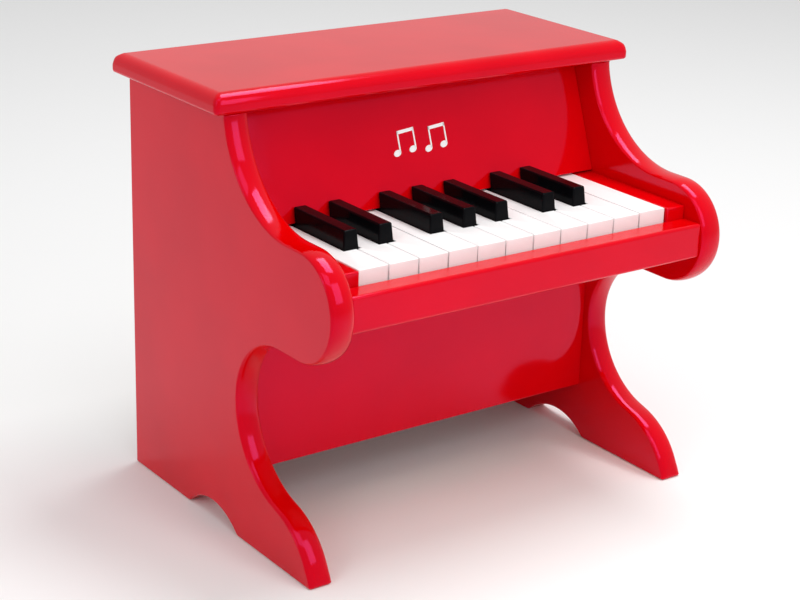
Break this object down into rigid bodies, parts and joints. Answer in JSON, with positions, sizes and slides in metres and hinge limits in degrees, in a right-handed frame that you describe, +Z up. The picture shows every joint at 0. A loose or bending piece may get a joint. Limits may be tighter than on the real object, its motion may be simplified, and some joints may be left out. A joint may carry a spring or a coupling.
{
  "type": "toy upright piano",
  "caption": "Red lacquered toy upright piano with scrolled side panels, overhanging lid and a short keyboard that swings hammers onto metal bars.",
  "frame": {"origin": "on the floor, under the middle of the overall box", "axes": "+Z up, +X to the player's right, +Y towards the back"},
  "size_m": [0.3, 0.226, 0.265],
  "materials": {
    "red_lacquer": "high gloss lacquer",
    "key_white": "satin white paint",
    "key_black": "satin black paint",
    "raw_wood": "bare sanded wood",
    "back_board": "smooth hardboard",
    "steel": "bright zinc",
    "tone_metal": "brushed",
    "felt": "pressed felt",
    "hammer_plastic": "moulded"
  },
  "bodies": {
    "cabinet": {"side_panel_left": "red_lacquer", "side_panel_right": "red_lacquer", "lid": "red_lacquer", "fallboard": "red_lacquer", "lower_panel": "red_lacquer", "back_panel": "back_board", "keybed": "raw_wood", "key_slip": "red_lacquer", "key_block_left": "red_lacquer", "key_block_right": "red_lacquer", "key_rod": "steel", "key_felts": "felt", "rest_rail": "raw_wood", "guide_pins": "steel", "action_bracket_left": "raw_wood", "action_bracket_right": "raw_wood", "hammer_rod": "steel", "tone_rail_front": "raw_wood", "tone_rail_rear": "raw_wood", "tone_rail_felts": "felt", "tone_bars": "tone_metal", "tone_bar_pins": "steel", "screws": "steel", "dowels": "raw_wood"},
    "key_01": {"key_01": "key_white"},
    "key_02": {"key_02": "key_black"},
    "key_03": {"key_03": "key_white"},
    "key_04": {"key_04": "key_black"},
    "key_05": {"key_05": "key_white"},
    "key_06": {"key_06": "key_white"},
    "key_07": {"key_07": "key_black"},
    "key_08": {"key_08": "key_white"},
    "key_09": {"key_09": "key_black"},
    "key_10": {"key_10": "key_white"},
    "key_11": {"key_11": "key_black"},
    "key_12": {"key_12": "key_white"},
    "key_13": {"key_13": "key_white"},
    "key_14": {"key_14": "key_black"},
    "key_15": {"key_15": "key_white"},
    "key_16": {"key_16": "key_black"},
    "key_17": {"key_17": "key_white"},
    "key_18": {"key_18": "key_white"},
    "hammer_01": {"hammer_01": "hammer_plastic"},
    "hammer_02": {"hammer_02": "hammer_plastic"},
    "hammer_03": {"hammer_03": "hammer_plastic"},
    "hammer_04": {"hammer_04": "hammer_plastic"},
    "hammer_05": {"hammer_05": "hammer_plastic"},
    "hammer_06": {"hammer_06": "hammer_plastic"},
    "hammer_07": {"hammer_07": "hammer_plastic"},
    "hammer_08": {"hammer_08": "hammer_plastic"},
    "hammer_09": {"hammer_09": "hammer_plastic"},
    "hammer_10": {"hammer_10": "hammer_plastic"},
    "hammer_11": {"hammer_11": "hammer_plastic"},
    "hammer_12": {"hammer_12": "hammer_plastic"},
    "hammer_13": {"hammer_13": "hammer_plastic"},
    "hammer_14": {"hammer_14": "hammer_plastic"},
    "hammer_15": {"hammer_15": "hammer_plastic"},
    "hammer_16": {"hammer_16": "hammer_plastic"},
    "hammer_17": {"hammer_17": "hammer_plastic"},
    "hammer_18": {"hammer_18": "hammer_plastic"}
  },
  "joints": [
    {"name": "key_01_tilt", "type": "hinge", "parent": "cabinet", "child": "key_01", "pos_m": [-0.1052, 0.0025, 0.177], "axis": [1, 0, 0], "range_deg": [0, 4.8], "stiffness_Nm_per_rad": 0.06, "springref_deg": -17.19},
    {"name": "hammer_01_swing", "type": "hinge", "parent": "cabinet", "child": "hammer_01", "pos_m": [-0.1052, 0.092, 0.196], "axis": [1, 0, 0], "range_deg": [-19.2, 0]},
    {"name": "key_02_tilt", "type": "hinge", "parent": "cabinet", "child": "key_02", "pos_m": [-0.09339, 0.0025, 0.177], "axis": [1, 0, 0], "range_deg": [0, 4.8], "stiffness_Nm_per_rad": 0.06, "springref_deg": -17.19},
    {"name": "hammer_02_swing", "type": "hinge", "parent": "cabinet", "child": "hammer_02", "pos_m": [-0.09339, 0.092, 0.196], "axis": [1, 0, 0], "range_deg": [-19.2, 0]},
    {"name": "key_03_tilt", "type": "hinge", "parent": "cabinet", "child": "key_03", "pos_m": [-0.08157, 0.0025, 0.177], "axis": [1, 0, 0], "range_deg": [0, 4.8], "stiffness_Nm_per_rad": 0.06, "springref_deg": -17.19},
    {"name": "hammer_03_swing", "type": "hinge", "parent": "cabinet", "child": "hammer_03", "pos_m": [-0.08157, 0.092, 0.196], "axis": [1, 0, 0], "range_deg": [-19.2, 0]},
    {"name": "key_04_tilt", "type": "hinge", "parent": "cabinet", "child": "key_04", "pos_m": [-0.06976, 0.0025, 0.177], "axis": [1, 0, 0], "range_deg": [0, 4.8], "stiffness_Nm_per_rad": 0.06, "springref_deg": -17.19},
    {"name": "hammer_04_swing", "type": "hinge", "parent": "cabinet", "child": "hammer_04", "pos_m": [-0.06976, 0.092, 0.196], "axis": [1, 0, 0], "range_deg": [-19.2, 0]},
    {"name": "key_05_tilt", "type": "hinge", "parent": "cabinet", "child": "key_05", "pos_m": [-0.05795, 0.0025, 0.177], "axis": [1, 0, 0], "range_deg": [0, 4.8], "stiffness_Nm_per_rad": 0.06, "springref_deg": -17.19},
    {"name": "hammer_05_swing", "type": "hinge", "parent": "cabinet", "child": "hammer_05", "pos_m": [-0.05795, 0.092, 0.196], "axis": [1, 0, 0], "range_deg": [-19.2, 0]},
    {"name": "key_06_tilt", "type": "hinge", "parent": "cabinet", "child": "key_06", "pos_m": [-0.04614, 0.0025, 0.177], "axis": [1, 0, 0], "range_deg": [0, 4.8], "stiffness_Nm_per_rad": 0.06, "springref_deg": -17.19},
    {"name": "hammer_06_swing", "type": "hinge", "parent": "cabinet", "child": "hammer_06", "pos_m": [-0.04614, 0.092, 0.196], "axis": [1, 0, 0], "range_deg": [-19.2, 0]},
    {"name": "key_07_tilt", "type": "hinge", "parent": "cabinet", "child": "key_07", "pos_m": [-0.03433, 0.0025, 0.177], "axis": [1, 0, 0], "range_deg": [0, 4.8], "stiffness_Nm_per_rad": 0.06, "springref_deg": -17.19},
    {"name": "hammer_07_swing", "type": "hinge", "parent": "cabinet", "child": "hammer_07", "pos_m": [-0.03433, 0.092, 0.196], "axis": [1, 0, 0], "range_deg": [-19.2, 0]},
    {"name": "key_08_tilt", "type": "hinge", "parent": "cabinet", "child": "key_08", "pos_m": [-0.02251, 0.0025, 0.177], "axis": [1, 0, 0], "range_deg": [0, 4.8], "stiffness_Nm_per_rad": 0.06, "springref_deg": -17.19},
    {"name": "hammer_08_swing", "type": "hinge", "parent": "cabinet", "child": "hammer_08", "pos_m": [-0.02251, 0.092, 0.196], "axis": [1, 0, 0], "range_deg": [-19.2, 0]},
    {"name": "key_09_tilt", "type": "hinge", "parent": "cabinet", "child": "key_09", "pos_m": [-0.0107, 0.0025, 0.177], "axis": [1, 0, 0], "range_deg": [0, 4.8], "stiffness_Nm_per_rad": 0.06, "springref_deg": -17.19},
    {"name": "hammer_09_swing", "type": "hinge", "parent": "cabinet", "child": "hammer_09", "pos_m": [-0.0107, 0.092, 0.196], "axis": [1, 0, 0], "range_deg": [-19.2, 0]},
    {"name": "key_10_tilt", "type": "hinge", "parent": "cabinet", "child": "key_10", "pos_m": [0.00111, 0.0025, 0.177], "axis": [1, 0, 0], "range_deg": [0, 4.8], "stiffness_Nm_per_rad": 0.06, "springref_deg": -17.19},
    {"name": "hammer_10_swing", "type": "hinge", "parent": "cabinet", "child": "hammer_10", "pos_m": [0.00111, 0.092, 0.196], "axis": [1, 0, 0], "range_deg": [-19.2, 0]},
    {"name": "key_11_tilt", "type": "hinge", "parent": "cabinet", "child": "key_11", "pos_m": [0.01293, 0.0025, 0.177], "axis": [1, 0, 0], "range_deg": [0, 4.8], "stiffness_Nm_per_rad": 0.06, "springref_deg": -17.19},
    {"name": "hammer_11_swing", "type": "hinge", "parent": "cabinet", "child": "hammer_11", "pos_m": [0.01293, 0.092, 0.196], "axis": [1, 0, 0], "range_deg": [-19.2, 0]},
    {"name": "key_12_tilt", "type": "hinge", "parent": "cabinet", "child": "key_12", "pos_m": [0.02474, 0.0025, 0.177], "axis": [1, 0, 0], "range_deg": [0, 4.8], "stiffness_Nm_per_rad": 0.06, "springref_deg": -17.19},
    {"name": "hammer_12_swing", "type": "hinge", "parent": "cabinet", "child": "hammer_12", "pos_m": [0.02474, 0.092, 0.196], "axis": [1, 0, 0], "range_deg": [-19.2, 0]},
    {"name": "key_13_tilt", "type": "hinge", "parent": "cabinet", "child": "key_13", "pos_m": [0.03655, 0.0025, 0.177], "axis": [1, 0, 0], "range_deg": [0, 4.8], "stiffness_Nm_per_rad": 0.06, "springref_deg": -17.19},
    {"name": "hammer_13_swing", "type": "hinge", "parent": "cabinet", "child": "hammer_13", "pos_m": [0.03655, 0.092, 0.196], "axis": [1, 0, 0], "range_deg": [-19.2, 0]},
    {"name": "key_14_tilt", "type": "hinge", "parent": "cabinet", "child": "key_14", "pos_m": [0.04836, 0.0025, 0.177], "axis": [1, 0, 0], "range_deg": [0, 4.8], "stiffness_Nm_per_rad": 0.06, "springref_deg": -17.19},
    {"name": "hammer_14_swing", "type": "hinge", "parent": "cabinet", "child": "hammer_14", "pos_m": [0.04836, 0.092, 0.196], "axis": [1, 0, 0], "range_deg": [-19.2, 0]},
    {"name": "key_15_tilt", "type": "hinge", "parent": "cabinet", "child": "key_15", "pos_m": [0.06017, 0.0025, 0.177], "axis": [1, 0, 0], "range_deg": [0, 4.8], "stiffness_Nm_per_rad": 0.06, "springref_deg": -17.19},
    {"name": "hammer_15_swing", "type": "hinge", "parent": "cabinet", "child": "hammer_15", "pos_m": [0.06017, 0.092, 0.196], "axis": [1, 0, 0], "range_deg": [-19.2, 0]},
    {"name": "key_16_tilt", "type": "hinge", "parent": "cabinet", "child": "key_16", "pos_m": [0.07199, 0.0025, 0.177], "axis": [1, 0, 0], "range_deg": [0, 4.8], "stiffness_Nm_per_rad": 0.06, "springref_deg": -17.19},
    {"name": "hammer_16_swing", "type": "hinge", "parent": "cabinet", "child": "hammer_16", "pos_m": [0.07199, 0.092, 0.196], "axis": [1, 0, 0], "range_deg": [-19.2, 0]},
    {"name": "key_17_tilt", "type": "hinge", "parent": "cabinet", "child": "key_17", "pos_m": [0.0838, 0.0025, 0.177], "axis": [1, 0, 0], "range_deg": [0, 4.8], "stiffness_Nm_per_rad": 0.06, "springref_deg": -17.19},
    {"name": "hammer_17_swing", "type": "hinge", "parent": "cabinet", "child": "hammer_17", "pos_m": [0.0838, 0.092, 0.196], "axis": [1, 0, 0], "range_deg": [-19.2, 0]},
    {"name": "key_18_tilt", "type": "hinge", "parent": "cabinet", "child": "key_18", "pos_m": [0.09561, 0.0025, 0.177], "axis": [1, 0, 0], "range_deg": [0, 4.8], "stiffness_Nm_per_rad": 0.06, "springref_deg": -17.19},
    {"name": "hammer_18_swing", "type": "hinge", "parent": "cabinet", "child": "hammer_18", "pos_m": [0.09561, 0.092, 0.196], "axis": [1, 0, 0], "range_deg": [-19.2, 0]}
  ],
  "couplings": [
    {"joint": "hammer_01_swing", "follows": "key_01_tilt", "ratio": -4},
    {"joint": "hammer_02_swing", "follows": "key_02_tilt", "ratio": -4},
    {"joint": "hammer_03_swing", "follows": "key_03_tilt", "ratio": -4},
    {"joint": "hammer_04_swing", "follows": "key_04_tilt", "ratio": -4},
    {"joint": "hammer_05_swing", "follows": "key_05_tilt", "ratio": -4},
    {"joint": "hammer_06_swing", "follows": "key_06_tilt", "ratio": -4},
    {"joint": "hammer_07_swing", "follows": "key_07_tilt", "ratio": -4},
    {"joint": "hammer_08_swing", "follows": "key_08_tilt", "ratio": -4},
    {"joint": "hammer_09_swing", "follows": "key_09_tilt", "ratio": -4},
    {"joint": "hammer_10_swing", "follows": "key_10_tilt", "ratio": -4},
    {"joint": "hammer_11_swing", "follows": "key_11_tilt", "ratio": -4},
    {"joint": "hammer_12_swing", "follows": "key_12_tilt", "ratio": -4},
    {"joint": "hammer_13_swing", "follows": "key_13_tilt", "ratio": -4},
    {"joint": "hammer_14_swing", "follows": "key_14_tilt", "ratio": -4},
    {"joint": "hammer_15_swing", "follows": "key_15_tilt", "ratio": -4},
    {"joint": "hammer_16_swing", "follows": "key_16_tilt", "ratio": -4},
    {"joint": "hammer_17_swing", "follows": "key_17_tilt", "ratio": -4},
    {"joint": "hammer_18_swing", "follows": "key_18_tilt", "ratio": -4}
  ]
}
